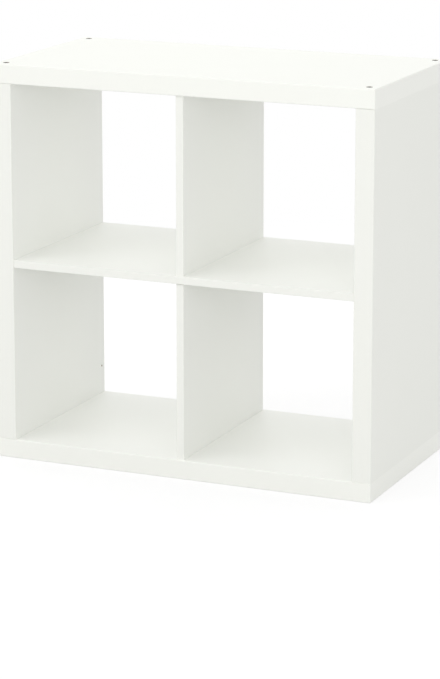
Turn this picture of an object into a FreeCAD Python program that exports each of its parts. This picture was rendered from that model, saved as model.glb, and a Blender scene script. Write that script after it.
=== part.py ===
"""Cube storage unit, two compartments wide and two high, open at the front and at the back.

The origin is on the floor under the middle of the unit: X runs along its width, Y from front to
back and Z up, in millimetres. Four thick board-on-frame panels make the outside. The top and bottom
panels run the full width, and the side panels stand between them, held by dowels and by screws
through the top and the bottom. One long thin shelf spans the sides, with a short divider board
above it and another below. The driving sizes are in the sheet named Sizes, and every sub-part
takes its size and place from them.
"""
import FreeCAD, Part
import math
import os
import re
import Sketcher
from FreeCAD import Rotation, Vector

SIZES = (
    ("width", 765, "whole unit, left to right"),
    ("height", 765, "whole unit, floor to top"),
    ("depth", 390, "whole unit, front to back"),
    ("outer_panel", 37, "thickness of the four outer panels"),
    ("skin", 3, "fibreboard skin on each face of an outer panel"),
    ("rail_width", 40, "particleboard rail along the front and the back of a panel"),
    ("block_width", 60, "particleboard block across a panel, at its ends and its middle"),
    ("cell_width", 26, "honeycomb cell, flat to flat"),
    ("paper", 0.6, "honeycomb wall, two glued sheets"),
    ("edge_strip", 2, "plastic strip on the edges of an outer panel"),
    ("edge_round", 1.8, "rounding of that strip"),
    ("inner_board", 15, "thickness of the shelf and the dividers"),
    ("board_setback", 2, "how far the inner boards stand back from the front and back faces"),
    ("board_strip", 1, "plastic strip on the front and back edge of an inner board"),
    ("board_round", 0.9, "rounding of that strip"),
    ("divider_setback", 2, "how far the dividers stand back from the shelf's front and back edges"),
    ("divider_play", 0.8, "gap over the lower divider, which is cut short so that it slips in"),
    ("dowel_width", 8, "diameter of every dowel"),
    ("dowel_length", 35, "dowel in a panel's face and a board's end"),
    ("dowel_seat", 15, "part of that dowel in the panel's face"),
    ("dowel_spacing", 192, "front dowel to back dowel of a joint"),
    ("dowel_play", 0.1, "gap all round a dowel"),
    ("dowel_end_play", 0.5, "gap at each end of a dowel"),
    ("dowel_bevel", 0.8, "bevel on a dowel's ends"),
    ("flute_width", 1, "diameter of the glue flutes down a dowel"),
    ("screw_inset", 20, "screw axis from the front or back face"),
    ("screw_length", 70, "under the head"),
    ("screw_width", 7, "diameter over the thread"),
    ("screw_core", 5, "diameter under the thread"),
    ("screw_tip", 3, "length of the blunt point"),
    ("screw_play", 0.1, "gap all round a screw"),
    ("thread_length", 28, "threaded part"),
    ("thread_pitch", 3, "from turn to turn"),
    ("head_width", 11.5, "diameter of the screw head"),
    ("head_height", 3.5, "thickness of the screw head"),
    ("head_play", 0.4, "gap all round the screw head"),
    ("head_sunk", 0.3, "head below the panel's face"),
    ("socket_width", 4, "hexagon socket, flat to flat"),
    ("socket_depth", 2.5, "depth of that socket"),
    ("pilot_width", 4, "diameter of the small pilot holes"),
    ("pilot_depth", 12, "depth of the small pilot holes"),
    ("pilot_inset", 13, "pilot hole from the back face"),
    ("pilot_height", 93, "pilot hole in the left panel above the floor"),
)
FLUTES = 12  # glue flutes round a dowel
AXES = ("x", "y", "z")

doc = FreeCAD.newDocument("CubeStorageUnit")
sheet = doc.addObject("Spreadsheet::Sheet", "Sizes")
for row, (alias, number, meaning) in enumerate(SIZES, start=1):
    sheet.set(f"A{row}", meaning)
    sheet.set(f"B{row}", str(number))
    sheet.setAlias(f"B{row}", alias)
doc.recompute()
nodes = []


# Expressions. Sizes are written as words, such as "width / 2 - outer_panel".

def with_sheet(words):
    """The expression with the sheet's name in front of every size."""
    return re.sub(r"[a-z][a-z_]*", r"Sizes.\g<0>", words)


def bind(thing, setting, words):
    """Tie one setting of an object to the sheet."""
    thing.setExpression(setting, with_sheet(words))


def value(words):
    """The expression's present value in millimetres."""
    return float(sheet.evalExpression(with_sheet(words)))


def both_ways(words):
    """An expression and its opposite, for what lies on both sides of the middle."""
    return (f"-({words})", words)


def keep(piece, name):
    """Name a finished sub-part and list it for writing."""
    piece.Label = name
    nodes.append(piece)
    return piece


def standing_along(axis):
    """The turn that lays a shape made along Z along another axis."""
    return Rotation(Vector(0, 0, 1), Vector(*[float(letter == axis) for letter in AXES]))


# Plain shapes

def box(name, x, y, z):
    """A plain block between a low and a high expression along each axis."""
    block = doc.addObject("Part::Box", name + "_block")
    for axis, setting, (low, high) in zip(AXES, ("Length", "Width", "Height"), (x, y, z)):
        bind(block, setting, f"({high}) - ({low})")
        bind(block, f"Placement.Base.{axis}", low)
    return block


def rod(name, radius, axis, x, y, z):
    """A cylinder along one axis, given by its low and high end there and its place on the others."""
    cylinder = doc.addObject("Part::Cylinder", name)
    cylinder.Placement.Rotation = standing_along(axis)
    bind(cylinder, "Radius", radius)
    for letter, place in zip(AXES, (x, y, z)):
        if letter == axis:
            low, high = place
            bind(cylinder, "Height", f"({high}) - ({low})")
            place = low
        bind(cylinder, f"Placement.Base.{letter}", place)
    return cylinder


def group(name, members):
    """Several objects as one compound of separate solids."""
    compound = doc.addObject("Part::Compound", name)
    compound.Links = members
    return compound


def drilled(name, piece, holes):
    """The piece with the holes cut out of it, as a finished sub-part."""
    cut = doc.addObject("Part::Cut", name)
    cut.Base = piece
    cut.Tool = holes
    return keep(cut, name)


# Sketches and bodies

def new_sketch(body, name, plane):
    """An empty sketch on one of the body's own origin planes."""
    sketch = body.newObject("Sketcher::SketchObject", name)
    origin = next(item for item in body.Origin.OriginFeatures if item.Role == plane)
    sketch.AttachmentSupport = (origin, [""])
    sketch.MapMode = "FlatFace"
    return sketch


def pin_point(sketch, geometry, point, across, up):
    """Tie a point of a sketch to the sheet, measured from the sketch's origin."""
    for kind, words in (("DistanceX", across), ("DistanceY", up)):
        number = sketch.addConstraint(Sketcher.Constraint(kind, -1, 1, geometry, point, value(words)))
        label = f"{kind[-1].lower()}_{number}"
        sketch.renameConstraint(number, label)
        bind(sketch, "Constraints." + label, words)


def outline(sketch, corners):
    """A closed outline of straight lines through corners given as pairs of expressions."""
    points = [Vector(value(across), value(up), 0) for across, up in corners]
    count = len(points)
    lines = [sketch.addGeometry(Part.LineSegment(points[i], points[(i + 1) % count]), False)
             for i in range(count)]
    for i, line in enumerate(lines):
        sketch.addConstraint(Sketcher.Constraint("Coincident", line, 2, lines[(i + 1) % count], 1))
        pin_point(sketch, line, 1, *corners[i])


def circle(sketch, across, up, diameter):
    """A circle tied to the sheet by its centre and its diameter."""
    centre = Vector(value(across), value(up), 0)
    ring = sketch.addGeometry(Part.Circle(centre, Vector(0, 0, 1), value(diameter) / 2), False)
    number = sketch.addConstraint(Sketcher.Constraint("Diameter", ring, value(diameter)))
    sketch.renameConstraint(number, f"diameter_{number}")
    bind(sketch, f"Constraints.diameter_{number}", diameter)
    if (across, up) == ("0", "0"):
        sketch.addConstraint(Sketcher.Constraint("Coincident", ring, 3, -1, 1))
    else:
        pin_point(sketch, ring, 3, across, up)


def padded(name, x, y, z):
    """A body that is a rectangle on its XY plane, padded up, and lifted to its place."""
    body = doc.addObject("PartDesign::Body", name)
    sketch = new_sketch(body, name + "_outline", "XY_Plane")
    outline(sketch, [(x[0], y[0]), (x[1], y[0]), (x[1], y[1]), (x[0], y[1])])
    pad = body.newObject("PartDesign::Pad", name + "_pad")
    pad.Profile = sketch
    bind(pad, "Length", f"({z[1]}) - ({z[0]})")
    bind(body, "Placement.Base.z", z[0])
    return body, pad


def free_edges(shape, joined):
    """The edges in none of the joined faces, which are pairs such as ("Y", "Max")."""
    names = []
    for number, edge in enumerate(shape.Edges, start=1):
        middle = dict(zip("XYZ", edge.CenterOfMass))
        held = [abs(middle[axis] - getattr(shape.BoundBox, axis + side)) < 1e-6
                for axis, side in joined]
        if not any(held):
            names.append(f"Edge{number}")
    return names


def edge_strip(name, x, y, z, radius, joined):
    """A plastic edge strip, rounded on every edge that joins nothing."""
    body, pad = padded(name, x, y, z)
    doc.recompute()
    fillet = body.newObject("PartDesign::Fillet", name + "_rounding")
    fillet.Base = (pad, free_edges(pad.Shape, joined))
    bind(fillet, "Radius", radius)
    return keep(body, name)


# Where the fasteners lie

JOINT_DEPTHS = both_ways("dowel_spacing / 2")
SIDE_MIDDLES = both_ways("width / 2 - outer_panel / 2")
SCREW_DEPTHS = both_ways("depth / 2 - screw_inset")
UNDER_TOP = "height - outer_panel"
SHELF_LOW = "height / 2 - inner_board / 2"
SHELF_HIGH = "height / 2 + inner_board / 2"
GRIP = "(dowel_length - dowel_seat)"

TOP_DOWEL = (f"{UNDER_TOP} - {GRIP}", f"{UNDER_TOP} + dowel_seat")
BOTTOM_DOWEL = ("outer_panel - dowel_seat", f"outer_panel + {GRIP}")
LEFT_DOWEL = ("-width / 2 + outer_panel - dowel_seat", f"-width / 2 + outer_panel + {GRIP}")
RIGHT_DOWEL = (f"width / 2 - outer_panel - {GRIP}", "width / 2 - outer_panel + dowel_seat")
THROUGH_DOWEL = (f"{SHELF_LOW} - {GRIP}", f"{SHELF_HIGH} + {GRIP}")

# Each dowel is (axis, x, y, z), with its two ends along the axis.
CORNER_DOWELS = [("z", x, y, ends) for ends in (TOP_DOWEL, BOTTOM_DOWEL)
                 for x in SIDE_MIDDLES for y in JOINT_DEPTHS]
SHELF_DOWELS = [("x", ends, y, "height / 2") for ends in (LEFT_DOWEL, RIGHT_DOWEL)
                for y in JOINT_DEPTHS]
DIVIDER_DOWELS = [("z", "0", y, ends) for ends in (TOP_DOWEL, BOTTOM_DOWEL) for y in JOINT_DEPTHS]
THROUGH_DOWELS = [("z", "0", y, THROUGH_DOWEL) for y in JOINT_DEPTHS]


def dowel_bores(name, dowels):
    """The holes for a set of dowels, wider and longer than the dowels by their play."""
    bores = []
    for axis, *places in dowels:
        along = AXES.index(axis)
        low, high = places[along]
        places[along] = (f"{low} - dowel_end_play", f"{high} + dowel_end_play")
        bores.append(rod(name, "dowel_width / 2 + dowel_play", axis, *places))
    return group(name + "_group", bores)


def screw_bores(name, face, inward):
    """The stepped holes for four screws let in from a face, which is the top or the floor."""
    bores = []
    steps = (("head_width / 2 + head_play", "head_sunk + head_height"),
             ("screw_width / 2 + screw_play", "head_sunk + head_height + screw_length + screw_play"))
    for x in SIDE_MIDDLES:
        for y in SCREW_DEPTHS:
            for radius, reach in steps:
                ends = (face, f"{face} + {reach}") if inward > 0 else (f"{face} - ({reach})", face)
                bores.append(rod(name, radius, "z", x, y, ends))
    return group(name + "_group", bores)


def top_pilots():
    """Two small blind holes in the underside of the top near the back, for a wall fixing."""
    middles = both_ways("(width - 2 * outer_panel + inner_board) / 4")
    ends = (UNDER_TOP, f"{UNDER_TOP} + pilot_depth")
    return [rod("top_pilot", "pilot_width / 2", "z", x, "depth / 2 - pilot_inset", ends) for x in middles]


def left_pilot():
    """One small blind hole low in the inner face of the left panel, near the back."""
    ends = ("-width / 2 + outer_panel - pilot_depth", "-width / 2 + outer_panel")
    return rod("left_pilot", "pilot_width / 2", "x", ends, "depth / 2 - pilot_inset", "pilot_height")


corner_bores = dowel_bores("corner_bore", CORNER_DOWELS)
shelf_bores = dowel_bores("shelf_bore", SHELF_DOWELS)
divider_bores = dowel_bores("divider_bore", DIVIDER_DOWELS)
through_bores = dowel_bores("through_bore", THROUGH_DOWELS)
top_screw_bores = screw_bores("top_screw_bore", "height", -1)
bottom_screw_bores = screw_bores("bottom_screw_bore", "0", +1)
top_holes = group("top_holes", [corner_bores, divider_bores, top_screw_bores] + top_pilots())
bottom_holes = group("bottom_holes", [corner_bores, divider_bores, bottom_screw_bores])
right_holes = group("right_holes", [corner_bores, shelf_bores, top_screw_bores, bottom_screw_bores])
left_holes = group("left_holes", [right_holes, left_pilot()])
shelf_holes = group("shelf_holes", [shelf_bores, through_bores])
divider_holes = group("divider_holes", [divider_bores, through_bores])


# The thick outer panels

class Panel:
    """A board-on-frame panel: skins on rails and blocks, with paper honeycomb in the bays.

    Its pieces are placed by how far they lie along it from its middle, by Y, and by how deep they
    lie under its outer face.
    """

    def __init__(self, name, holes, lies_flat, outer_face, inward):
        self.name = name
        self.holes = holes
        self.lies_flat = lies_flat
        self.outer_face = outer_face
        self.inward = inward
        self.middle = "0" if lies_flat else "height / 2"
        self.half = "width / 2" if lies_flat else "height / 2 - outer_panel"
        self.core_half = f"{self.half} - edge_strip" if lies_flat else self.half

    def ranges(self, along, across, under):
        """Low and high expressions on X, Y and Z of a piece of this panel."""
        along = tuple(f"{self.middle} + ({place})" for place in along)
        if self.inward > 0:
            under = tuple(f"{self.outer_face} + ({place})" for place in under)
        else:
            under = tuple(f"{self.outer_face} - ({place})" for place in reversed(under))
        return (along, across, under) if self.lies_flat else (under, across, along)

    def wooden(self, part, along, across, under):
        """A drilled skin, rail or block of this panel."""
        name = f"{self.name}_{part}"
        return drilled(name, box(name, *self.ranges(along, across, under)), self.holes)

    def build(self):
        """Skins, frame and front and back edge strips."""
        whole = both_ways(self.core_half)
        inside_strips = both_ways("depth / 2 - edge_strip")
        between_rails = both_ways("depth / 2 - edge_strip - rail_width")
        core = ("skin", "outer_panel - skin")
        self.wooden("outer_skin", whole, inside_strips, ("0", "skin"))
        self.wooden("inner_skin", whole, inside_strips, ("outer_panel - skin", "outer_panel"))
        self.wooden("front_rail", whole, (inside_strips[0], between_rails[0]), core)
        self.wooden("back_rail", whole, (between_rails[1], inside_strips[1]), core)
        ends = ("left", "right") if self.lies_flat else ("lower", "upper")
        inner_end = f"{self.core_half} - block_width"
        self.wooden(f"{ends[0]}_block", (f"-({self.core_half})", f"-({inner_end})"), between_rails, core)
        self.wooden(f"{ends[1]}_block", (inner_end, self.core_half), between_rails, core)
        self.wooden("centre_block", both_ways("block_width / 2"), between_rails, core)
        self.honeycomb(f"{inner_end} - block_width / 2")
        self.long_strips()
        if self.lies_flat:
            self.end_strips()

    def long_strips(self):
        """The front and back edge strips; those of a flat panel wrap round its corners."""
        ends = [] if self.lies_flat else [("Z", "Min"), ("Z", "Max")]
        strips = (("front_edge", ("-depth / 2", "-depth / 2 + edge_strip"), ("Y", "Max")),
                  ("back_edge", ("depth / 2 - edge_strip", "depth / 2"), ("Y", "Min")))
        for part, across, glued in strips:
            where = self.ranges(both_ways(self.half), across, ("0", "outer_panel"))
            edge_strip(f"{self.name}_{part}", *where, "edge_round", [glued] + ends)

    def end_strips(self):
        """The strips on the two ends of a flat panel, between its front and back strips.

        They stay square where they meet the side panels, so that joint closes flush.
        """
        across = both_ways("depth / 2 - edge_strip")
        towards_sides = ("Z", "Max" if self.inward > 0 else "Min")
        strips = (("left_edge", (f"-({self.half})", f"-({self.core_half})"), ("X", "Max")),
                  ("right_edge", (self.core_half, self.half), ("X", "Min")))
        for part, along, glued in strips:
            where = self.ranges(along, across, ("0", "outer_panel"))
            joined = [glued, towards_sides, ("Y", "Min"), ("Y", "Max")]
            edge_strip(f"{self.name}_{part}", *where, "edge_round", joined)

    def honeycomb(self, bay_words):
        """Two paper cores, one in each bay between the blocks, as one group."""
        bay = value(bay_words)
        breadth = 2 * value("depth / 2 - edge_strip - rail_width")
        thick = value("outer_panel - 2 * skin")
        core = honeycomb_core(bay, breadth, value("cell_width"), value("paper"), thick)
        cores = []
        for start in (-value("block_width / 2") - bay, value("block_width / 2")):
            copy = core.copy()
            copy.translate(Vector(start, -breadth / 2, 0))
            cores.append(copy)
        low = min(value(place) for place in self.under_skin())
        paper = doc.addObject("Part::Feature", f"{self.name}_honeycomb")
        paper.Shape = Part.makeCompound(cores)
        if self.lies_flat:
            paper.Placement.Base = Vector(0, 0, low)
        else:
            turned = Rotation(Vector(0, 1, 0), -90)
            paper.Placement = FreeCAD.Placement(Vector(low + thick, 0, value(self.middle)), turned)
        keep(paper, f"{self.name}_honeycomb")

    def under_skin(self):
        """Where the core lies between the skins, across the panel."""
        ranges = self.ranges(("0", "0"), ("0", "0"), ("skin", "outer_panel - skin"))
        return ranges[2] if self.lies_flat else ranges[0]


def hexagon(x, y, across_flats):
    """A six-sided face with two of its sides along Y."""
    reach = across_flats / 2 / math.cos(math.radians(30))
    corners = [Vector(x + reach * math.cos(math.radians(60 * turn + 30)),
                      y + reach * math.sin(math.radians(60 * turn + 30)), 0) for turn in range(7)]
    return Part.Face(Part.makePolygon(corners))


def honeycomb_core(length, breadth, cell, paper, thick):
    """A block of paper cells with a wall round it, standing on the XY plane at the origin.

    The cells stand in staggered rows. Those at the border are cut off by the wall, and a remnant
    under a twentieth of a cell stays closed.
    """
    pitch = cell + paper
    row_step = pitch * math.sqrt(3) / 2
    rows = range(int(breadth / row_step) + 2)
    columns = range(int(length / pitch) + 2)
    cells = [hexagon(column * pitch + (row % 2) * pitch / 2, row * row_step, cell)
             for row in rows for column in columns]
    inside = Part.makePlane(length - 2 * paper, breadth - 2 * paper, Vector(paper, paper, 0))
    openings = [face for face in inside.common(Part.makeCompound(cells)).Faces
                if face.Area > cell * cell / 20]
    section = Part.makePlane(length, breadth).cut(Part.makeCompound(openings))
    return section.Faces[0].extrude(Vector(0, 0, thick))


for panel in (Panel("top", top_holes, True, "height", -1),
              Panel("bottom", bottom_holes, True, "0", +1),
              Panel("left", left_holes, False, "-width / 2", +1),
              Panel("right", right_holes, False, "width / 2", -1)):
    panel.build()


# The thin inner boards

def inner_board(name, x, z, holes, run, setback):
    """A shelf or divider: a solid board with a thin strip on its front and back edge."""
    face = f"depth / 2 - ({setback})"
    core = f"{face} - board_strip"
    body = padded(name + "_core", x, both_ways(core), z)[0]
    drilled(name + "_board", body, holes)
    ends = [(run, "Min"), (run, "Max")]
    front = (f"-({face})", f"-({core})")
    back = (core, face)
    edge_strip(name + "_front_edge", x, front, z, "board_round", [("Y", "Max")] + ends)
    edge_strip(name + "_back_edge", x, back, z, "board_round", [("Y", "Min")] + ends)


shelf_run = both_ways("width / 2 - outer_panel")
board_sides = both_ways("inner_board / 2")
inner_board("shelf", shelf_run, (SHELF_LOW, SHELF_HIGH), shelf_holes, "X", "board_setback")
behind_shelf = "board_setback + divider_setback"
inner_board("upper_divider", board_sides, (SHELF_HIGH, UNDER_TOP), divider_holes, "Z", behind_shelf)
lower_run = ("outer_panel", f"{SHELF_LOW} - divider_play")
inner_board("lower_divider", board_sides, lower_run, divider_holes, "Z", behind_shelf)


# Dowels and screws, each made once and placed by links

def dowel(name, length):
    """A beech dowel standing on the origin, with bevelled ends and glue flutes."""
    body = doc.addObject("PartDesign::Body", name)
    round_sketch = new_sketch(body, name + "_round", "XY_Plane")
    circle(round_sketch, "0", "0", "dowel_width")
    pad = body.newObject("PartDesign::Pad", name + "_pad")
    pad.Profile = round_sketch
    bind(pad, "Length", length)
    doc.recompute()
    bevel = body.newObject("PartDesign::Chamfer", name + "_bevel")
    rims = [f"Edge{number}" for number, edge in enumerate(pad.Shape.Edges, start=1)
            if edge.Curve.TypeId == "Part::GeomCircle"]
    bevel.Base = (pad, rims)
    bind(bevel, "Size", "dowel_bevel")
    flute_sketch = new_sketch(body, name + "_flute", "XY_Plane")
    circle(flute_sketch, "dowel_width / 2", "0", "flute_width")
    flute = body.newObject("PartDesign::Pocket", name + "_flute_cut")
    flute.Profile = flute_sketch
    flute.Type = "ThroughAll"
    flute.Reversed = True
    doc.recompute()
    flutes = body.newObject("PartDesign::PolarPattern", name + "_flutes")
    flutes.Originals = [flute]
    flutes.Axis = (round_sketch, ["N_Axis"])
    flutes.Angle = 360
    flutes.Occurrences = FLUTES
    body.Tip = flutes
    return body


def screw():
    """A furniture screw hanging from the origin: flat head up, hexagon socket, ring-shaped thread."""
    body = doc.addObject("PartDesign::Body", "screw")
    half_head, half_core, half_width = "head_width / 2", "screw_core / 2", "screw_width / 2"
    under_head = "-head_height"
    thread_top = "-head_height - screw_length + screw_tip + thread_length"
    thread_end = "-head_height - screw_length + screw_tip"
    end = "-head_height - screw_length"
    profile = new_sketch(body, "screw_profile", "XZ_Plane")
    outline(profile, [("0", "0"), (half_head, "0"), (half_head, under_head), (half_width, under_head),
                      (half_width, thread_top), (half_core, thread_top), (half_core, thread_end),
                      ("screw_core / 4", end), ("0", end)])
    turned = body.newObject("PartDesign::Revolution", "screw_turned")
    turned.Profile = profile
    turned.ReferenceAxis = (profile, ["V_Axis"])
    turned.Angle = 360
    ring_profile = new_sketch(body, "thread_profile", "XZ_Plane")
    inside_core = "0.4 * screw_core"
    outline(ring_profile, [(inside_core, f"{thread_end} + 0.8 * thread_pitch"), (inside_core, thread_end),
                           (half_width, f"{thread_end} + 0.35 * thread_pitch"),
                           (half_width, f"{thread_end} + 0.45 * thread_pitch")])
    ring = body.newObject("PartDesign::Revolution", "thread_ring")
    ring.Profile = ring_profile
    ring.ReferenceAxis = (ring_profile, ["V_Axis"])
    ring.Angle = 360
    doc.recompute()
    turns = int(value("thread_length") / value("thread_pitch"))
    thread = body.newObject("PartDesign::LinearPattern", "thread_rings")
    thread.Originals = [ring]
    thread.Direction = (ring_profile, ["V_Axis"])
    thread.Occurrences = turns
    bind(thread, "Length", f"{turns - 1} * thread_pitch")
    body.Tip = thread
    socket_sketch = new_sketch(body, "socket_outline", "XY_Plane")
    reach = f"socket_width / {2 * math.cos(math.radians(30)):.6f}"
    corners = [(f"{math.cos(math.radians(60 * turn)):.6f} * {reach}",
                f"{math.sin(math.radians(60 * turn)):.6f} * {reach}") for turn in range(6)]
    outline(socket_sketch, corners)
    doc.recompute()
    socket = body.newObject("PartDesign::Pocket", "socket")
    socket.Profile = socket_sketch
    bind(socket, "Length", "socket_depth")
    body.Tip = socket
    return body


def placed(name, original, places, turn):
    """Links to one original at (x, y, z) expressions, all turned one way, as one group."""
    links = []
    for number, place in enumerate(places, start=1):
        link = doc.addObject("App::Link", f"{name}_{number}")
        link.LinkedObject = original
        link.Placement.Rotation = turn
        for axis, words in zip(AXES, place):
            bind(link, f"Placement.Base.{axis}", words)
        links.append(link)
    return keep(group(name, links), name)


def place_dowels(name, original, dowels):
    """Dowels of one direction, each placed by its low end."""
    axis = dowels[0][0]
    starts = [tuple(place[0] if isinstance(place, tuple) else place for place in places)
              for _, *places in dowels]
    return placed(name, original, starts, standing_along(axis))


short_dowel = dowel("short_dowel", "dowel_length")
long_dowel = dowel("long_dowel", f"inner_board + 2 * {GRIP}")
place_dowels("corner_dowels", short_dowel, CORNER_DOWELS)
place_dowels("shelf_dowels", short_dowel, SHELF_DOWELS)
place_dowels("divider_dowels", short_dowel, DIVIDER_DOWELS)
place_dowels("through_dowels", long_dowel, THROUGH_DOWELS)

one_screw = screw()
top_places = [(x, y, "height - head_sunk") for x in SIDE_MIDDLES for y in SCREW_DEPTHS]
bottom_places = [(x, y, "head_sunk") for x in SIDE_MIDDLES for y in SCREW_DEPTHS]
placed("top_screws", one_screw, top_places, Rotation())
placed("bottom_screws", one_screw, bottom_places, Rotation(Vector(1, 0, 0), 180))


# Check everything, then write one file for each sub-part

def check_document():
    """Stop on any feature that failed and on any sub-part that isn't sound."""
    doc.recompute()
    for item in doc.Objects:
        if {"Invalid", "Error"} & set(item.State):
            raise RuntimeError(f"{item.Label} failed: {item.State}")
    for node in nodes:
        if node.Shape.isNull() or not node.Shape.isValid():
            raise RuntimeError(f"{node.Label} has no sound shape")
        if not node.Shape.Solids:
            raise RuntimeError(f"{node.Label} holds no solid")


check_document()
os.makedirs("parts", exist_ok=True)
for node in nodes:
    node.Shape.exportStep(os.path.join("parts", node.Label + ".step"))
    print(node.Label, len(node.Shape.Solids), round(node.Shape.Volume))
print(len(nodes), "sub-parts")
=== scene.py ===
# %% [markdown]
# # A cube storage unit
# This unit is four white furniture panels round a thin shelf and two thin dividers, open at the
# front and at the back. Its pieces come from the packed model, at their real size and place, so
# this script gives them their finishes, turns the screws with a real thread and socket, and sets
# up the camera, the floor and the lamps. All lengths are in metres, and MM stands for one
# millimetre.

# %% Load the packed model
import math
import bpy
import numpy as np
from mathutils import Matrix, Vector


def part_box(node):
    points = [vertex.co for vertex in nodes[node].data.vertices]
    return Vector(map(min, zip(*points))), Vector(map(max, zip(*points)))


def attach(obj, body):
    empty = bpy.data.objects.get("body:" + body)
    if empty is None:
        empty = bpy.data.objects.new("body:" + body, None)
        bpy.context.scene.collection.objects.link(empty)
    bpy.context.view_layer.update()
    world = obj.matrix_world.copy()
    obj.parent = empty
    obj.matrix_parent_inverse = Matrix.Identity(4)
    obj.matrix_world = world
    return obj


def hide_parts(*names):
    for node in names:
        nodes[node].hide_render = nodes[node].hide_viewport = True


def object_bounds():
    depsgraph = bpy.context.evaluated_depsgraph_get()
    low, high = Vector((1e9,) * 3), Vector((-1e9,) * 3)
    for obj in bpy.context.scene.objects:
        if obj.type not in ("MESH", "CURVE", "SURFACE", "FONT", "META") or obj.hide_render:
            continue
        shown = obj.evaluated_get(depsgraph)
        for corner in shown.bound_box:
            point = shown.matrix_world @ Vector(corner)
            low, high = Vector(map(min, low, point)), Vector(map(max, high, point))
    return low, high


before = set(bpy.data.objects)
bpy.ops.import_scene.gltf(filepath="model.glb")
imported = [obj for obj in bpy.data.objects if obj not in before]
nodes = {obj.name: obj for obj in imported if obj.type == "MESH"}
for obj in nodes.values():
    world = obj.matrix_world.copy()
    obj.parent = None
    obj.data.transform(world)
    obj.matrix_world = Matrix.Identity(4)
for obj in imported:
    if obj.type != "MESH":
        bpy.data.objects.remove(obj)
cad_low, cad_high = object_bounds()
MM = 0.001
print("unit, mm:", [round(side / MM) for side in cad_high - cad_low])
print("pieces from the model:", len(nodes))

# %% [markdown]
# ## The camera
# The unit is seen from its front right and a little from above, from far away through a long
# lens, which keeps its edges nearly parallel. The camera stands on a sphere round the middle of
# the unit: the azimuth turns it to the right and the elevation lifts it. The unit sits a little
# above the middle of the picture, and the lens shift does that without turning the camera.

# %% Place the camera
VIEW_AZIMUTH = math.radians(23.64)
VIEW_ELEVATION = math.radians(12.56)
VIEW_DISTANCE = 5.370
SENSOR_MM = 36
LENS_MM = 148.9
LENS_SHIFT = (-0.0018, -0.1175)

middle = (cad_low + cad_high) / 2


def towards(azimuth, elevation):
    """The direction from the unit to a viewer: right by the azimuth, then up by the elevation."""
    level = math.cos(elevation)
    return Vector((math.sin(azimuth) * level, -math.cos(azimuth) * level, math.sin(elevation)))


def aimed(thing, place, target):
    """Put a camera or lamp at a place and point its -Z axis at the target."""
    thing.location = place
    thing.rotation_euler = (target - place).to_track_quat("-Z", "Y").to_euler()
    bpy.context.scene.collection.objects.link(thing)


lens = bpy.data.cameras.new("camera")
lens.sensor_width = SENSOR_MM
lens.lens = LENS_MM
lens.shift_x, lens.shift_y = LENS_SHIFT
camera = bpy.data.objects.new("camera", lens)
aimed(camera, middle + towards(VIEW_AZIMUTH, VIEW_ELEVATION) * VIEW_DISTANCE, middle)
bpy.context.scene.camera = camera
print("camera at", [round(part, 2) for part in camera.location])

# %% [markdown]
# ## Writing materials as sums
# A finish is a tree of shader nodes. Wiring it by hand is slow to read, so a small class wraps a
# socket and lets `mask * 0.5 + 0.2` add the Math nodes by itself. Every other node comes from one
# method, `node`, which takes the node's type, its settings and what goes into its sockets.

# %% A socket that can be used in sums
class Wire:
    """An output socket of a finish; sums with numbers or other wires add Math nodes."""

    def __init__(self, finish, socket):
        self.finish = finish
        self.socket = socket

    def __add__(self, other):
        return self.finish.maths("ADD", self, other)

    __radd__ = __add__

    def __sub__(self, other):
        return self.finish.maths("SUBTRACT", self, other)

    def __rsub__(self, other):
        return self.finish.maths("SUBTRACT", other, self)

    def __mul__(self, other):
        return self.finish.maths("MULTIPLY", self, other)

    __rmul__ = __mul__

    def __gt__(self, other):
        return self.finish.maths("GREATER_THAN", self, other)

    def __lt__(self, other):
        return self.finish.maths("LESS_THAN", self, other)


def as_colour(value):
    """A wire as it is, and a plain colour with its alpha."""
    return value if isinstance(value, Wire) else (*value, 1.0)


def darkened(colour, share):
    """A colour with each part taken down by a share."""
    return tuple(part * (1 - share) for part in colour)


print("mid grey, a tenth darker:", darkened((0.5, 0.5, 0.5), 0.1))


# %% A tree of nodes
class Tree:
    """The nodes of a material or of the world, added one by one."""

    def __init__(self, owner):
        owner.use_nodes = True
        self.owner = owner
        self.nodes = owner.node_tree.nodes
        self.links = owner.node_tree.links
        self.nodes.clear()

    def node(self, kind, settings=None, sockets=None, output=0):
        """Add a node, set it up, fill its sockets with values or wires, and hand back an output."""
        added = self.nodes.new(kind)
        for setting, value in (settings or {}).items():
            if setting == "stops":
                self.set_stops(added.color_ramp, value)
            else:
                setattr(added, setting, value)
        for socket, value in (sockets or {}).items():
            if isinstance(value, Wire):
                self.links.new(value.socket, added.inputs[socket])
            else:
                added.inputs[socket].default_value = value
        return Wire(self, added.outputs[output]) if len(added.outputs) else None

    @staticmethod
    def set_stops(ramp, stops):
        """Give a colour ramp its (place, colour) stops."""
        while len(ramp.elements) < len(stops):
            ramp.elements.new(1.0)
        for element, (place, colour) in zip(ramp.elements, stops):
            element.position = place
            element.color = (*colour, 1.0)

    def maths(self, operation, *values, clamp=False):
        """One Math node on numbers or wires; `clamp` keeps its result between 0 and 1."""
        settings = {"operation": operation, "use_clamp": clamp}
        return self.node("ShaderNodeMath", settings, dict(enumerate(values)))

    def seen_directly(self):
        """1 for rays from the camera, in gloss or through glass, and 0 for rays that carry light."""
        camera_ray, glossy_ray, glass_ray = (
            self.node("ShaderNodeLightPath", output=f"Is {kind} Ray")
            for kind in ("Camera", "Glossy", "Transmission"))
        return self.maths("MAXIMUM", self.maths("MAXIMUM", camera_ray, glossy_ray), glass_ray)


print("what a tree can do:", [name for name in vars(Tree) if not name.startswith("_")])


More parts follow.
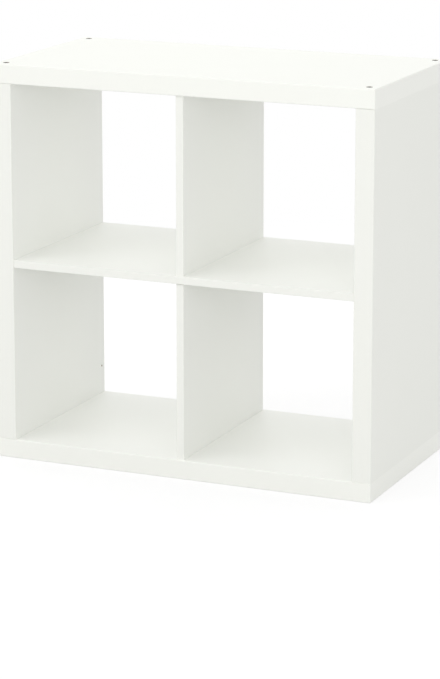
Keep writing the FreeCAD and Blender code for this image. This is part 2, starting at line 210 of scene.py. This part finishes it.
# %% A finish with its patterns
class Finish(Tree):
    """One material, with the patterns that the finishes below share."""

    def __init__(self, name):
        super().__init__(bpy.data.materials.new(name))
        self.place = self.node("ShaderNodeTexCoord", output="Object")

    def along(self, axis):
        """How far along X, Y or Z the place lies, in metres."""
        return self.node("ShaderNodeSeparateXYZ", None, {"Vector": self.place}, axis)

    def stretched(self, stretch):
        """The place, with each axis made finer or coarser by its own factor."""
        return self.node("ShaderNodeMapping", None, {"Vector": self.place, "Scale": stretch})

    def noise(self, size, detail, stretch=(1, 1, 1), roughness=0.5):
        """Soft noise whose lumps are about `size` metres across, between 0 and 1."""
        sockets = {"Vector": self.stretched(stretch), "Scale": 1 / size, "Detail": detail,
                   "Roughness": roughness}
        return self.node("ShaderNodeTexNoise", {"noise_dimensions": "3D"}, sockets, "Fac")

    def flakes(self, size, stretch):
        """A random number from 0 to 1 for each irregular flake of about `size` metres."""
        sockets = {"Vector": self.stretched(stretch), "Scale": 1 / size}
        colour = self.node("ShaderNodeTexVoronoi", {"feature": "F1"}, sockets, "Color")
        return self.node("ShaderNodeSeparateColor", None, {"Color": colour}, "Red")

    def mix(self, first, second, share):
        """A colour between two colours, by a share from 0 to 1."""
        sockets = {0: share, 6: as_colour(first), 7: as_colour(second)}
        return self.node("ShaderNodeMix", {"data_type": "RGBA"}, sockets, 2)

    def ramp(self, value, stops):
        """A colour picked by a value between 0 and 1."""
        return self.node("ShaderNodeValToRGB", {"stops": stops}, {0: value})

    def relief(self, height, depth):
        """A normal that follows a height from 0 to 1, which stands for `depth` metres."""
        sockets = {"Height": height, "Distance": depth, "Strength": 1.0}
        return self.node("ShaderNodeBump", None, sockets, "Normal")

    def shows(self, shader):
        """Join a shader to the material's output, and hand back the material."""
        self.node("ShaderNodeOutputMaterial", None, {"Surface": shader})
        return self.owner

    def coat(self, colour, roughness, normal, **constants):
        """Close the finish with one Principled shader; constants go on its own sockets."""
        sockets = {"Base Color": as_colour(colour), "Roughness": roughness, "Normal": normal}
        sockets.update({name.replace("_", " "): value for name, value in constants.items()})
        return self.shows(self.node("ShaderNodeBsdfPrincipled", None, sockets))


print("what a finish adds:", [name for name in vars(Finish) if not name.startswith("_")])

# %% [markdown]
# ## Reading a piece's shape
# A finish often changes at a place on the piece: a panel's skin is lacquered on one face only.
# Those places come from the piece's own box, so they follow the model when its sizes change.

# %% Where a piece's faces lie
AXES = "XYZ"


def side_of(node, axis):
    """Low and high place of a node along one axis."""
    low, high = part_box(node)
    return low[AXES.index(axis)], high[AXES.index(axis)]


def longest_axis(node):
    """The axis along which a node is longest: the way that a strip or dowel runs."""
    low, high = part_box(node)
    return AXES[int(np.argmax(high - low))]


def thinnest_axis(node):
    """The axis across which a node is thinnest: the thickness of a skin or board."""
    low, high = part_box(node)
    return AXES[int(np.argmin(high - low))]


def stretch_along(axis, factor):
    """A pattern's stretch with one axis made coarser, for grain or draw lines along it."""
    return tuple(factor if each == axis else 1.0 for each in AXES)


print("the top's outer skin is thinnest along", thinnest_axis("top_outer_skin"))

# %% [markdown]
# ## The white finishes
# The outer panels are sprayed with a satin white lacquer on fibreboard. From close by it isn't
# quite flat: the sprayed coat has a shallow orange-peel relief about a millimetre wide, and its
# gloss varies softly over a hand's width. Only the face and its rim are lacquered, so the bores
# through a skin stay raw brown fibreboard. Where the skin meets the plastic edging a hair-thin
# glue line shows. The inner faces light each other, and each bounce deepens a tint, so their
# white is written a shade cooler, and comes out the same.

# %% White that isn't quite even
def weighed(first, second, share):
    """Two patterns in one: first * share + second * (1 - share)."""
    return first * share + second * (1 - share)


def uneven_white(finish, white, share):
    """White that drifts by a small share over the surface, as sprayed and printed coats do."""
    drift = finish.noise(160 * MM, detail=3)
    speck = finish.noise(0.9 * MM, detail=1)
    return finish.mix(darkened(white, share), white, weighed(drift, speck, share=0.7))


GLUE_LINE = 0.2 * MM
GLUE_SHADE = 0.22


def with_glue_line(finish, node, axes, colour, white):
    """A darker hair along a piece's rim: where |place| on an axis nears the piece's own reach."""
    beyond = [finish.maths("ABSOLUTE", finish.along(axis)) > side_of(node, axis)[1] - GLUE_LINE
              for axis in axes]
    rim = beyond[0] if len(beyond) == 1 else finish.maths("MAXIMUM", *beyond)
    return finish.mix(colour, darkened(white, GLUE_SHADE), rim)


GLOSS_WIDTH = 60 * MM
GLOSS_DRIFT = 0.06
SATIN_SPECULAR = 0.45


def satin_roughness(finish, covered, bare, satin):
    """Bare roughness where the coat is missing, and satin plus a soft drift where it covers."""
    drift = finish.noise(GLOSS_WIDTH, detail=2) * GLOSS_DRIFT
    return bare - covered * (bare - satin - drift)


print("glue line, mm:", GLUE_LINE / MM)

# %% Satin lacquer on a panel's skin
OUTER_LACQUER = (0.905, 0.914, 0.864)
INNER_LACQUER = (0.912, 0.919, 0.884)
FIBREBOARD = ((0.30, (0.33, 0.215, 0.125)), (0.70, (0.45, 0.31, 0.19)))
LACQUER_DEPTH = 0.1 * MM
LACQUER_DRIFT = 0.012
PEEL_WIDTH = 1.1 * MM
PEEL_DEPTH = 0.006 * MM


def lacquered_face(node):
    """Axis, place and outward side (+1 or -1) of the lacquered face of one skin."""
    panel, side, _ = node.split("_")
    axis = thinnest_axis(node)
    outwards = 1 if (panel in ("top", "right")) == (side == "outer") else -1
    low, high = side_of(node, axis)
    return axis, high if outwards > 0 else low, outwards


def lacquered(node):
    """Satin lacquer near a skin's visible face, and raw fibreboard everywhere else."""
    finish = Finish(node + "_lacquer")
    axis, face, outwards = lacquered_face(node)
    painted = (finish.along(axis) - face) * outwards > -LACQUER_DEPTH
    white = INNER_LACQUER if "inner" in node else OUTER_LACQUER
    rims = "XY" if axis == "Z" else "Y"
    sprayed = uneven_white(finish, white, LACQUER_DRIFT)
    coat = with_glue_line(finish, node, rims, sprayed, white)
    fibres = finish.ramp(finish.noise(0.8 * MM, detail=4), FIBREBOARD)
    colour = finish.mix(fibres, coat, painted)
    roughness = satin_roughness(finish, painted, bare=0.88, satin=0.42)
    peel = finish.relief(finish.noise(PEEL_WIDTH, detail=1), PEEL_DEPTH)
    return finish.coat(colour, roughness, peel, Specular_IOR_Level=SATIN_SPECULAR)


print("skins lie across:", {node: lacquered_face(node)[0] for node in nodes if "_skin" in node})

# %% Plastic edging
# The strips on the top and bottom panels are written lighter than the same strips on the standing
# pieces: that step between the two whites is painted light, not a different plastic.
LIT_LYING_EDGING = (0.930, 0.938, 0.888)
SHADED_STANDING_EDGING = (0.893, 0.901, 0.852)
EDGING_DRIFT = 0.008
DRAW_LINE = 0.5 * MM
DRAW_DEPTH = 0.004 * MM


def edging(name, white, run):
    """White plastic strip: faint draw lines along its run and a slightly livelier gloss."""
    finish = Finish(name)
    lines = finish.noise(DRAW_LINE, detail=2, stretch=stretch_along(run, 0.02))
    colour = uneven_white(finish, white, EDGING_DRIFT)
    drawn = finish.relief(lines, DRAW_DEPTH)
    return finish.coat(colour, roughness=0.36 + lines * 0.08, normal=drawn)


print("strips:", {node: longest_axis(node) for node in nodes if node.endswith("_edge")})

# %% [markdown]
# The shelf and the dividers are solid chipboard in white foil. The foil covers the two broad
# faces; the ends and the bores show the pressed chips.

# %% White foil on a board
FOIL = (0.912, 0.919, 0.884)
FOIL_DEPTH = 0.3 * MM
FOIL_DRIFT = 0.012
EMBOSS_WIDTH = 0.9 * MM
EMBOSS_DEPTH = 0.005 * MM
CHIPS = ((0.0, (0.36, 0.24, 0.14)), (0.45, (0.56, 0.41, 0.26)), (1.0, (0.72, 0.56, 0.38)))


def pressed_chips(finish):
    """Flat flakes of many browns, longer than they are thick, with finer dust between them."""
    flakes = finish.flakes(2.2 * MM, stretch=(0.5, 0.7, 1.0))
    dust = finish.noise(0.7 * MM, detail=3)
    return finish.ramp(weighed(flakes, dust, share=0.65), CHIPS)


def foiled(node):
    """White foil on the two broad faces of a board, and raw chipboard on its ends and in its bores."""
    finish = Finish(node + "_foil")
    axis = thinnest_axis(node)
    low, high = side_of(node, axis)
    across = finish.along(axis)
    outside = (across < low + FOIL_DEPTH) + (across > high - FOIL_DEPTH)
    white = with_glue_line(finish, node, "Y", uneven_white(finish, FOIL, FOIL_DRIFT), FOIL)
    colour = finish.mix(pressed_chips(finish), white, outside)
    roughness = satin_roughness(finish, outside, bare=0.86, satin=0.48)
    emboss = finish.relief(finish.noise(EMBOSS_WIDTH, detail=2), EMBOSS_DEPTH)
    return finish.coat(colour, roughness, emboss, Specular_IOR_Level=SATIN_SPECULAR)


print("boards in foil:", [node for node in nodes if node.endswith("_board")])

# %% [markdown]
# ## The hidden materials
# What the panels hold inside is never lacquered: rails and blocks of chipboard, a core of brown
# kraft paper, beech dowels. They only show when the unit is taken apart, and each still gets the
# grain that it has on the bench.

# %% Chipboard, kraft paper and beech
def chipboard(name):
    """Raw particleboard: flakes of wood in many browns, rough and a little open."""
    finish = Finish(name)
    pits = finish.noise(0.9 * MM, detail=4, roughness=0.65)
    open_grain = finish.relief(pits, depth=0.08 * MM)
    return finish.coat(pressed_chips(finish), roughness=0.78 + pits * 0.18, normal=open_grain)


PAPER = ((0.25, (0.36, 0.23, 0.13)), (0.75, (0.52, 0.36, 0.22)))


def kraft_paper(name):
    """Brown paper with long fibres and a soft mottle."""
    finish = Finish(name)
    fibres = finish.noise(0.6 * MM, detail=3, stretch=(0.25, 0.25, 1.0))
    mottle = finish.noise(9 * MM, detail=2)
    colour = finish.ramp(weighed(fibres, mottle, share=0.6), PAPER)
    felt = finish.relief(fibres, depth=0.03 * MM)
    return finish.coat(colour, roughness=0.84 + fibres * 0.1, normal=felt)


BEECH = ((0.2, (0.56, 0.36, 0.21)), (0.8, (0.74, 0.52, 0.33)))
BEECH_FLECK = (0.38, 0.21, 0.11)
FLECK_START = 0.62
FLECK_STEEPNESS = 6.0
FLECK_STRENGTH = 0.6


def beech(name, run):
    """Beech turned along its grain: pale and pinkish, with short dark flecks along the run."""
    finish = Finish(name)
    grain = finish.noise(1.6 * MM, detail=3, stretch=stretch_along(run, 0.12))
    specks = finish.noise(0.6 * MM, detail=1, stretch=stretch_along(run, 0.3))
    fleck = finish.maths("MULTIPLY", specks - FLECK_START, FLECK_STEEPNESS, clamp=True)
    colour = finish.mix(finish.ramp(grain, BEECH), BEECH_FLECK, fleck * FLECK_STRENGTH)
    pores = finish.relief(grain, depth=0.03 * MM)
    return finish.coat(colour, roughness=0.55 + grain * 0.15, normal=pores)


print("dowels:", {node: longest_axis(node) for node in nodes if node.endswith("_dowels")})

# %% Blackened steel for the screws
BLACKENED = ((0.3, (0.040, 0.041, 0.044)), (0.7, (0.066, 0.066, 0.069)))


def blackened_steel(name):
    """Dark plated steel: nearly black, with soft clouds in its colour and fine scratches."""
    finish = Finish(name)
    cloud = finish.noise(1.5 * MM, detail=3)
    scratches = finish.noise(0.25 * MM, detail=2, stretch=stretch_along("Y", 0.15))
    colour = finish.ramp(cloud, BLACKENED)
    brushed = finish.relief(scratches, depth=0.003 * MM)
    return finish.coat(colour, roughness=0.38 + scratches * 0.16, normal=brushed, Metallic=1.0)


print("screws:", [node for node in nodes if node.endswith("_screws")])

# %% [markdown]
# ## Giving each piece its finish
# A piece's name says what it is, so the finish follows from the name. A skin or board has a finish
# of its own, because its mask depends on where its faces lie; strips share one for each direction.

# %% Assign the finishes
lying = {run: edging(f"lit_lying_edging_{run}", LIT_LYING_EDGING, run) for run in "XY"}
standing = {run: edging(f"shaded_standing_edging_{run}", SHADED_STANDING_EDGING, run) for run in "XZ"}
inside_board = chipboard("chipboard")
paper = kraft_paper("kraft_paper")
dowel_wood = {run: beech(f"beech_{run}", run) for run in "XZ"}


def finish_for(node):
    """The material that a node's name asks for."""
    if node.endswith("_skin"):
        return lacquered(node)
    if node.endswith("_board"):
        return foiled(node)
    if node.endswith("_edge"):
        # The top and bottom panels' strips take the lighter white, which is painted light.
        strips = lying if node.startswith(("top_", "bottom_")) else standing
        return strips[longest_axis(node)]
    if node.endswith(("_rail", "_block")):
        return inside_board
    if node.endswith("_honeycomb"):
        return paper
    return dowel_wood["X" if node == "shelf_dowels" else "Z"]


for node, piece in nodes.items():
    if not node.endswith("_screws"):
        piece.data.materials.clear()
        piece.data.materials.append(finish_for(node))
print("finishes made:", len(bpy.data.materials))

# %% [markdown]
# ## The screws
# Each corner is held by furniture screws whose heads lie just under the panel's face. A screw is
# turned, so one profile carried round its axis makes nearly all of it. Two things aren't round: the
# hexagon socket and the thread. Both are only a radius that changes with the angle, so the whole
# screw stays one grid of rings: the first parameter runs down the profile and the second round the
# axis. Three sizes are shares: HEAD_RING of the head's radius, where the first round ring follows
# the hexagon, RIDGE_REACH of a pitch, which the ridge takes to each side, and TIP_SHARE of the
# core's radius, which is left at the tip.

# %% Sizes of a screw
HEAD_RADIUS = 5.75 * MM
HEAD_RING = 0.72
HEAD_HEIGHT = 3.5 * MM
SHANK_RADIUS = 3.5 * MM
CORE_RADIUS = 2.5 * MM
SOCKET_ACROSS = 4 * MM
SOCKET_DEPTH = 2.5 * MM
SOCKET_POINT = 0.5 * MM
THREAD_LENGTH = 28 * MM
THREAD_PITCH = 3 * MM
THREAD_RUNOUT = 0.8 * MM
RIDGE_REACH = 0.28
TIP_LENGTH = 3 * MM
TIP_SHARE = 0.6
AROUND = 48
ROWS_PER_TURN = 14
SHARP_ANGLE = math.radians(35)
print("turns of thread:", round(THREAD_LENGTH / THREAD_PITCH, 1))


# %% The parts of its profile
def hexagon_radius(angle, across):
    """Distance to a hexagon's side: half its width over the cosine of the angle off that side."""
    off_side = (angle + math.pi / 6) % (math.pi / 3) - math.pi / 6
    return across / 2 / np.cos(off_side)


def rounding(centre, radius, start, end, count):
    """Rows of (radius, height) on an arc: centre + radius * (cos, sin) of a turning angle."""
    turn = np.radians(np.linspace(start, end, count))
    return np.column_stack([centre[0] + radius * np.cos(turn), centre[1] + radius * np.sin(turn)])


def thread(angle, top, bottom):
    """Radii and heights of the threaded length: a ridge that climbs one pitch in each turn.

    The phase is height / pitch - angle / full turn, and the ridge is a triangle wave of it over
    the core, RIDGE_REACH of a pitch to each side. It fades in and out over one pitch, so its ends
    run out as a cut thread does.
    """
    rows = int((top - bottom) / THREAD_PITCH * ROWS_PER_TURN)
    height = np.linspace(top, bottom, rows)[:, None]
    phase = (height / THREAD_PITCH - angle / (2 * math.pi)) % 1.0
    ridge = np.clip(1.0 - np.abs(phase - 0.5) / RIDGE_REACH, 0.0, 1.0)
    fade = np.clip(np.minimum(top - height, height - bottom) / THREAD_PITCH, 0.0, 1.0)
    radius = CORE_RADIUS + (SHANK_RADIUS - CORE_RADIUS) * ridge * fade
    return radius, np.broadcast_to(height, radius.shape)


def turned(angle, rows):
    """Radii and heights of round rows: each (radius, height) is the same at every angle."""
    rows = np.asarray(rows)
    return np.repeat(rows[:, :1], len(angle), axis=1), np.repeat(rows[:, 1:], len(angle), axis=1)


def socket(angle):
    """Radii and heights of the hexagon socket, from its floor up to the bevel at its mouth."""
    bevel, lip = 0.25 * MM, 0.1 * MM
    widths = (SOCKET_ACROSS - 2 * lip, SOCKET_ACROSS, SOCKET_ACROSS, SOCKET_ACROSS + 2 * bevel)
    heights = np.array([-SOCKET_DEPTH, -SOCKET_DEPTH + lip, -bevel, 0.0])
    radius = np.array([hexagon_radius(angle, width) for width in widths])
    return radius, np.broadcast_to(heights[:, None], radius.shape)


print("socket across its corners, mm:", round(2 * hexagon_radius(math.pi / 6, SOCKET_ACROSS) / MM, 2))


# %% The whole screw as a grid
def screw_grid(length):
    """A (rows, round) grid of points of a screw that hangs from the origin, head up.

    Each row's place is (radius * cos angle, radius * sin angle, height), from the socket's floor
    over the head and down the shank and thread to the tip.
    """
    angle = np.linspace(0, 2 * math.pi, AROUND, endpoint=False)
    rim, under, neck, nose = 0.5 * MM, 0.25 * MM, 0.5 * MM, 0.4 * MM
    thread_low = -length + TIP_LENGTH
    thread_top = thread_low + THREAD_LENGTH
    head = np.vstack([
        [[HEAD_RADIUS * HEAD_RING, 0.0]],
        rounding((HEAD_RADIUS - rim, -rim), rim, 90, 0, 5),
        rounding((HEAD_RADIUS - under, -HEAD_HEIGHT + under), under, 0, -90, 4),
        rounding((SHANK_RADIUS + neck, -HEAD_HEIGHT - neck), neck, 90, 180, 5),
        [[SHANK_RADIUS, thread_top + THREAD_RUNOUT]]])
    tip = rounding((CORE_RADIUS * TIP_SHARE - nose, -length + nose), nose, -30, -90, 4)
    parts = (socket(angle), turned(angle, head),
             thread(angle, thread_top, thread_low), turned(angle, tip))
    radius, height = (np.vstack([part[which] for part in parts]) for which in (0, 1))
    return np.stack([radius * np.cos(angle), radius * np.sin(angle), height], axis=-1)


print("rings of a 60 mm screw, and points in each:", screw_grid(60 * MM).shape[:2])


# %% Close the grid into faces
def closed_rings(points, first_pole, last_pole):
    """Corners and faces of a (rows, round) grid of points, closed with a fan at each end.

    Row i and row i + 1 make one band of four-sided faces, and each pole joins its nearest row.
    """
    rows, around = points.shape[:2]
    corners = np.vstack([points.reshape(-1, 3), [first_pole, last_pole]])
    here = np.arange(around)
    after = (here + 1) % around
    start = np.arange(rows - 1)[:, None] * around
    bands = np.stack([start + here, start + around + here,
                      start + around + after, start + after], axis=-1)
    last = (rows - 1) * around
    first_fan = np.column_stack([np.full(around, len(corners) - 2), here, after])
    last_fan = np.column_stack([np.full(around, len(corners) - 1), last + after, last + here])
    return corners, bands.reshape(-1, 4), np.vstack([first_fan, last_fan])


_, bands, fans = closed_rings(np.zeros((3, 6, 3)), (0, 0, 0), (0, 0, 0))
print("3 rings of 6 points give", len(bands), "faces in bands and", len(fans), "in fans")


# %% Stand four screws in a panel
def screws_for(node, head_up):
    """Four detailed screws in the places of a node's plain ones, as one piece."""
    low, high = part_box(node)
    length = high.z - low.z
    socket_floor = (0, 0, -SOCKET_DEPTH - SOCKET_POINT)
    corners, bands, fans = closed_rings(screw_grid(length), socket_floor, (0, 0, -length))
    way = (1, 1, 1) if head_up else (1, -1, -1)
    head = high.z if head_up else low.z
    centres = [(x, y, head) for x in (low.x + HEAD_RADIUS, high.x - HEAD_RADIUS)
               for y in (low.y + HEAD_RADIUS, high.y - HEAD_RADIUS)]
    all_corners = np.vstack([corners * way + centre for centre in centres])
    faces = []
    for number in range(len(centres)):
        faces += (bands + number * len(corners)).tolist() + (fans + number * len(corners)).tolist()
    mesh = bpy.data.meshes.new(node + "_threaded")
    mesh.from_pydata(all_corners.tolist(), [], faces)
    mesh.shade_smooth()
    mesh.set_sharp_from_angle(angle=SHARP_ANGLE)
    piece = bpy.data.objects.new(node + "_threaded", mesh)
    bpy.context.scene.collection.objects.link(piece)
    return piece


steel = blackened_steel("blackened_steel")
for node, head_up in (("top_screws", True), ("bottom_screws", False)):
    piece = screws_for(node, head_up)
    piece.data.materials.append(steel)
    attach(piece, "root")
    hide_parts(node)
    print(piece.name, "faces:", len(piece.data.polygons))

# %% [markdown]
# ## Floor and surroundings
# The unit stands on a plain white floor in a white room without walls. The camera should see pure
# white round the unit, but the unit itself must be lit at a plain level, or its own white would
# burn out. So the floor and the world have two looks: Light Path tells rays from the camera, and
# those seen in gloss, from the rays that carry light to the unit. The floor's look for the camera
# is mostly its own glow. Round the unit a share of real light is left in it, and that share carries
# the unit's soft shadow; further out, where the lamps don't reach, the floor only glows.

# %% The floor
FLOOR_WHITE = 0.70
SHADOW_SHARE = 0.35
NEAR_GLOW = 0.66
SHADOW_REACH = (1.0, 2.2)
FLOOR_REACH = 20.0


def glow(finish, strength):
    """Plain white light of one strength; 1 is the white of the picture."""
    return finish.node("ShaderNodeEmission", None, {"Color": (1, 1, 1, 1), "Strength": strength})


def floor_finish():
    """White floor: matt for light; for the eye a glow, with a share of shadow near the unit."""
    finish = Finish("floor_white")
    matt, shaded = (finish.node("ShaderNodeBsdfDiffuse", None, {"Color": as_colour((tone,) * 3)})
                    for tone in (FLOOR_WHITE, SHADOW_SHARE))
    near = finish.node("ShaderNodeAddShader", None, {0: shaded, 1: glow(finish, NEAR_GLOW)})
    distance = finish.node("ShaderNodeVectorMath", {"operation": "LENGTH"}, {0: finish.place}, "Value")
    reach = {"Value": distance, "From Min": SHADOW_REACH[0], "From Max": SHADOW_REACH[1]}
    away = finish.node("ShaderNodeMapRange", {"interpolation_type": "SMOOTHSTEP"}, reach)
    shown = finish.node("ShaderNodeMixShader", None, {"Fac": away, 1: near, 2: glow(finish, 1.0)})
    looks = {"Fac": finish.seen_directly(), 1: matt, 2: shown}
    return finish.shows(finish.node("ShaderNodeMixShader", None, looks))


floor_mesh = bpy.data.meshes.new("floor")
floor_corners = np.array([(-1, -1, 0), (1, -1, 0), (1, 1, 0), (-1, 1, 0)]) * FLOOR_REACH
floor_mesh.from_pydata(floor_corners.tolist(), [], [(0, 1, 2, 3)])
floor_mesh.materials.append(floor_finish())
floor = bpy.data.objects.new("floor", floor_mesh)
bpy.context.scene.collection.objects.link(floor)
print("floor, m:", 2 * FLOOR_REACH)

# %% The world round the unit
WORLD_LIGHT = 0.80

world = bpy.data.worlds.new("surroundings")
bpy.context.scene.world = world
sky = Tree(world)
brightness = WORLD_LIGHT + sky.seen_directly() * (1.0 - WORLD_LIGHT)
background = sky.node("ShaderNodeBackground", None, {"Color": (1, 1, 1, 1), "Strength": brightness})
sky.node("ShaderNodeOutputWorld", None, {"Surface": background})
print("light from the surroundings:", WORLD_LIGHT)

# %% [markdown]
# ## Lamps
# Big soft panels of light, as in a product studio. The high ones in front make the top and the
# front edges the brightest faces. The three behind shine through the open back and keep the
# compartments as light as the outside; they stand apart, so that the back edges don't burn out.
# What shows in the gloss is the white room and not the lamps, so the satin faces stay even.

# %% Set up the soft lamps
def soft_lamp(name, place, width, height, power):
    """A rectangle of light that shines at the unit's middle; power is in watts."""
    light = bpy.data.lights.new(name, "AREA")
    light.shape = "RECTANGLE"
    light.size, light.size_y = width, height
    light.energy = power
    lamp = bpy.data.objects.new(name, light)
    lamp.visible_glossy = False
    aimed(lamp, Vector(place), middle)


# Name, place in metres, width, height, watts.
LAMPS = (
    ("left_high", (-2.4, -2.2, 3.4), 2.2, 1.8, 28.0),
    ("front_high", (0.0, -3.2, 3.2), 2.4, 1.6, 14.0),
    ("front_right", (2.6, -3.4, 1.4), 2.0, 1.8, 27.0),
    ("back", (-0.3, 3.4, 1.4), 3.0, 2.0, 25.0),
    ("back_high", (-0.3, 2.9, 3.0), 3.0, 2.0, 15.0),
    ("back_left", (-3.2, 2.0, 1.2), 2.0, 2.0, 12.0),
)
for lamp in LAMPS:
    soft_lamp(*lamp)
bpy.context.scene.view_settings.view_transform = "Standard"
print("lamps:", [lamp[0] for lamp in LAMPS])

# %% [markdown]
# ## Finishing
# The last cell brings the scene up to date and hands it over.

# %% Finish
bpy.context.view_layer.update()
